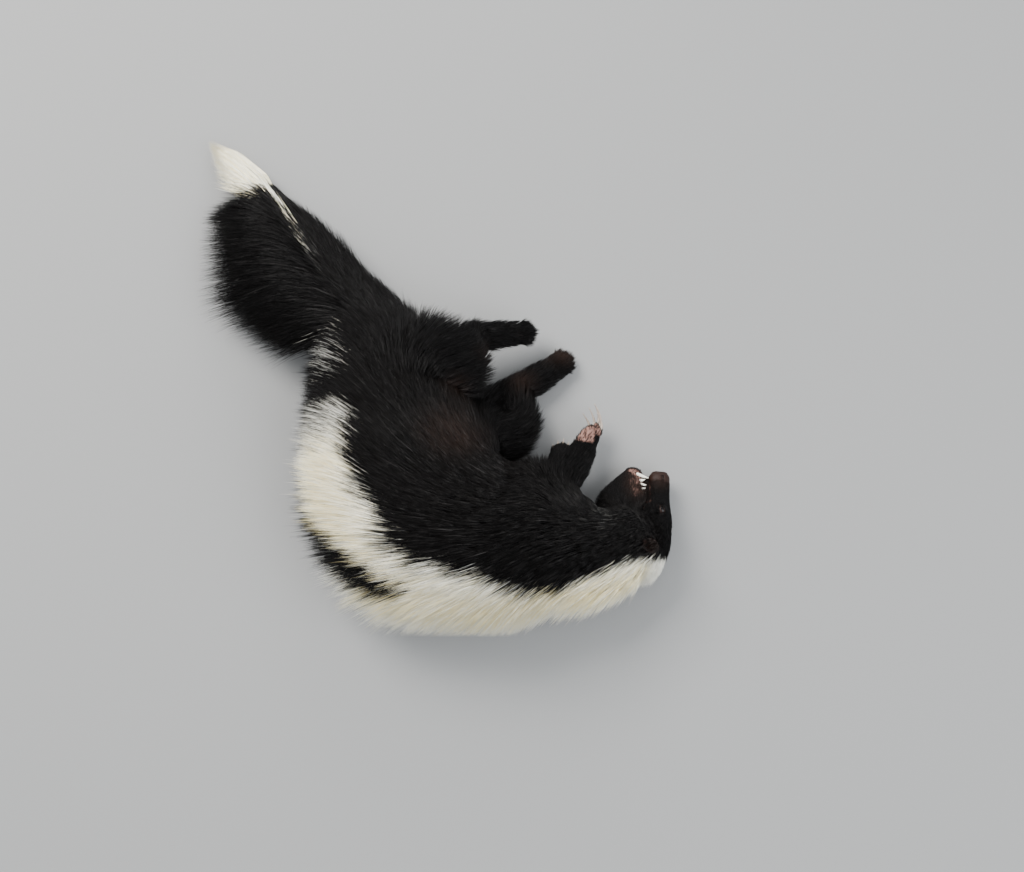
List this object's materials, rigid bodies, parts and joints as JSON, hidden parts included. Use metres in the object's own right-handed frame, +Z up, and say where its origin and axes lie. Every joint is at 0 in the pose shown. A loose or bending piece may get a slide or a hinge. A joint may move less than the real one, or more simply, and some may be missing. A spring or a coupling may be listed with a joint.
{
  "type": "striped skunk",
  "caption": "Adult striped skunk lying curled on its right side, black with white back stripes and a bushy white-tipped tail, as a still life-size museum model.",
  "frame": {"origin": "middle of the model's box, on the floor it lies on", "axes": "+Z up from the floor; the head points along +Y at the +X end; the tail runs towards -X +Y"},
  "size_m": [0.4272, 0.4608, 0.101],
  "materials": {
    "fur_black": "glossy black guard hair",
    "fur_striped": "black guard hair with cream-white stripes",
    "nose_skin": "moist bare skin",
    "eye": "wet, dark",
    "paw": "thinly haired skin with pale claws",
    "claw_tooth": "horn and tooth, satin"
  },
  "bodies": {
    "root": {"head": "fur_black", "jaw": "fur_black", "nose": "nose_skin", "eye_left": "eye", "eye_right": "eye", "ear_left": "fur_black", "ear_right": "fur_black", "neck": "fur_striped", "trunk": "fur_striped", "tail_base": "fur_black", "tail_middle": "fur_black", "tail_tip": "fur_striped", "leg_fore_left": "fur_black", "leg_fore_right": "fur_black", "leg_hind_left": "fur_black", "leg_hind_right": "fur_black", "paw_fore_left": "paw", "paw_fore_right": "paw", "paw_hind_left": "paw", "paw_hind_right": "paw"}
  },
  "joints": []
}
